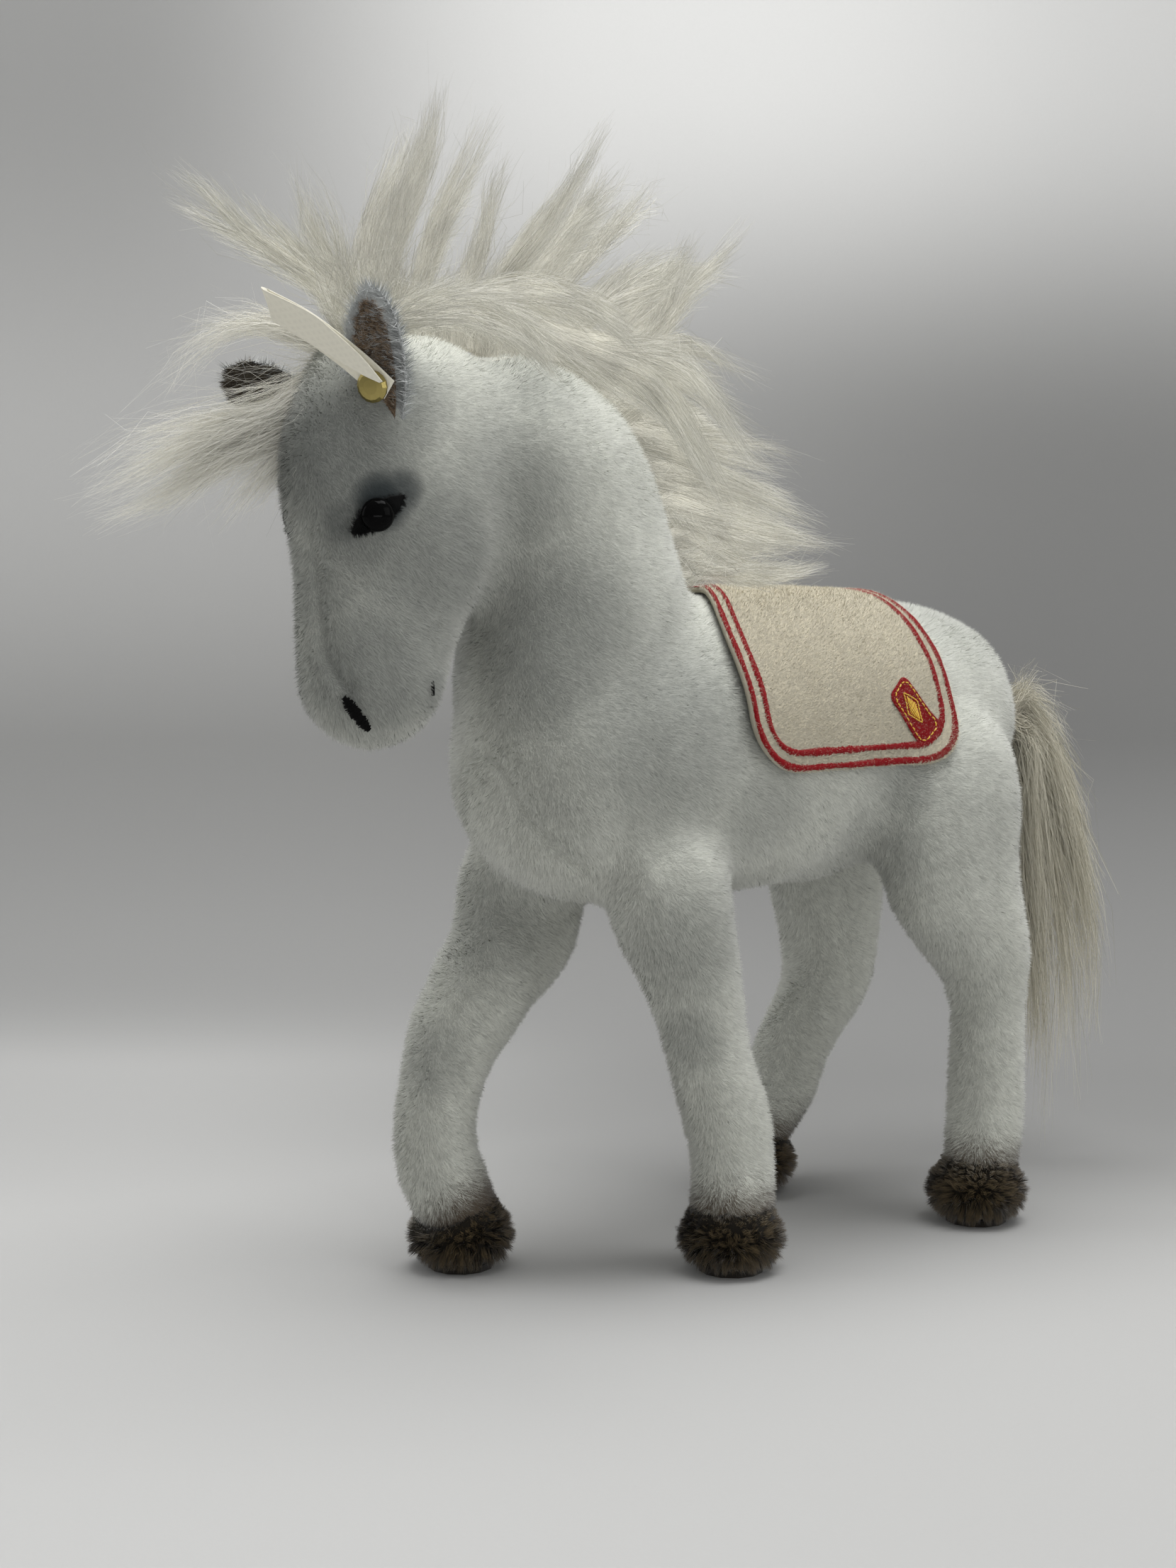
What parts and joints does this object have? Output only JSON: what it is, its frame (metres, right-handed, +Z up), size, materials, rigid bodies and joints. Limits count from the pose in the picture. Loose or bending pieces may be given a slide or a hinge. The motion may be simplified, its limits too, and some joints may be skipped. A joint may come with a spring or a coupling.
{
  "type": "plush horse",
  "caption": "Standing plush horse in mid-stride with a long-pile mane and tail, a felt saddle cloth with a stitched border, and a riveted tag in its left ear.",
  "frame": {"origin": "on the surface that the horse stands on, under the middle of its bounding box", "axes": "+Z up, the horse looks along -Y, and its left side is +X"},
  "size_m": [0.1118, 0.381, 0.3408],
  "materials": {
    "white_plush": "short dense pile, matte, sprayed pale grey in the folds",
    "hoof_plush": "short dark brown pile, matte",
    "grey_plush": "short grey pile, matte",
    "brown_plush": "thin brown pile, matte",
    "long_pile": "long cream-white pile, soft sheen",
    "cream_felt": "thick felt, matte",
    "woven_tape": "woven cotton tape, matte",
    "red_thread": "satin stitch, slight sheen",
    "red_felt": "thin felt, matte",
    "gold_thread": "stitched thread, slight sheen",
    "black_felt": "thin felt and thread, matte",
    "black_gloss": "polished",
    "black_plastic": "moulded, matte",
    "brass": "satin, lightly tarnished",
    "steel_wire": "drawn wire",
    "board": "pressed board"
  },
  "bodies": {
    "horse": {"back_wire": "steel_wire", "front_leg_wire": "steel_wire", "hind_leg_wire": "steel_wire", "left_eye": "black_gloss", "left_eye_felt": "black_felt", "left_eye_washer": "black_plastic", "right_eye": "black_gloss", "right_eye_felt": "black_felt", "right_eye_washer": "black_plastic", "left_nostril": "black_felt", "left_mouth_stitch": "black_felt", "right_nostril": "black_felt", "right_mouth_stitch": "black_felt", "front_left_leg": "white_plush", "front_left_hoof": "hoof_plush", "front_left_insole": "board", "front_left_sole_pad": "hoof_plush", "front_right_leg": "white_plush", "front_right_hoof": "hoof_plush", "front_right_insole": "board", "front_right_sole_pad": "hoof_plush", "hind_left_leg": "white_plush", "hind_left_hoof": "hoof_plush", "hind_left_insole": "board", "hind_left_sole_pad": "hoof_plush", "hind_right_leg": "white_plush", "hind_right_hoof": "hoof_plush", "hind_right_insole": "board", "hind_right_sole_pad": "hoof_plush", "ear_rivet": "brass", "ear_rivet_washer": "brass", "left_ear": "grey_plush", "left_ear_lining": "brown_plush", "right_ear": "grey_plush", "right_ear_lining": "brown_plush", "torso": "white_plush", "neck": "white_plush", "head": "white_plush", "saddle_cloth": "cream_felt", "outer_border": "red_thread", "inner_border": "red_thread", "patch": "red_felt", "patch_stitch": "gold_thread", "mane_tape": "woven_tape", "mane_poll_locks": "long_pile", "mane_crest_locks": "long_pile", "mane_withers_locks": "long_pile", "forelock": "long_pile", "tail_dock": "white_plush", "tail_hair": "long_pile"},
    "tag": {"ear_tag": "woven_tape"}
  },
  "joints": [
    {"name": "ear_tag_swivel", "type": "hinge", "parent": "horse", "child": "tag", "pos_m": [0.01618, -0.12369, 0.25824], "axis": [0.4786, -0.8437, -0.243], "range_deg": [-35, 5]}
  ]
}
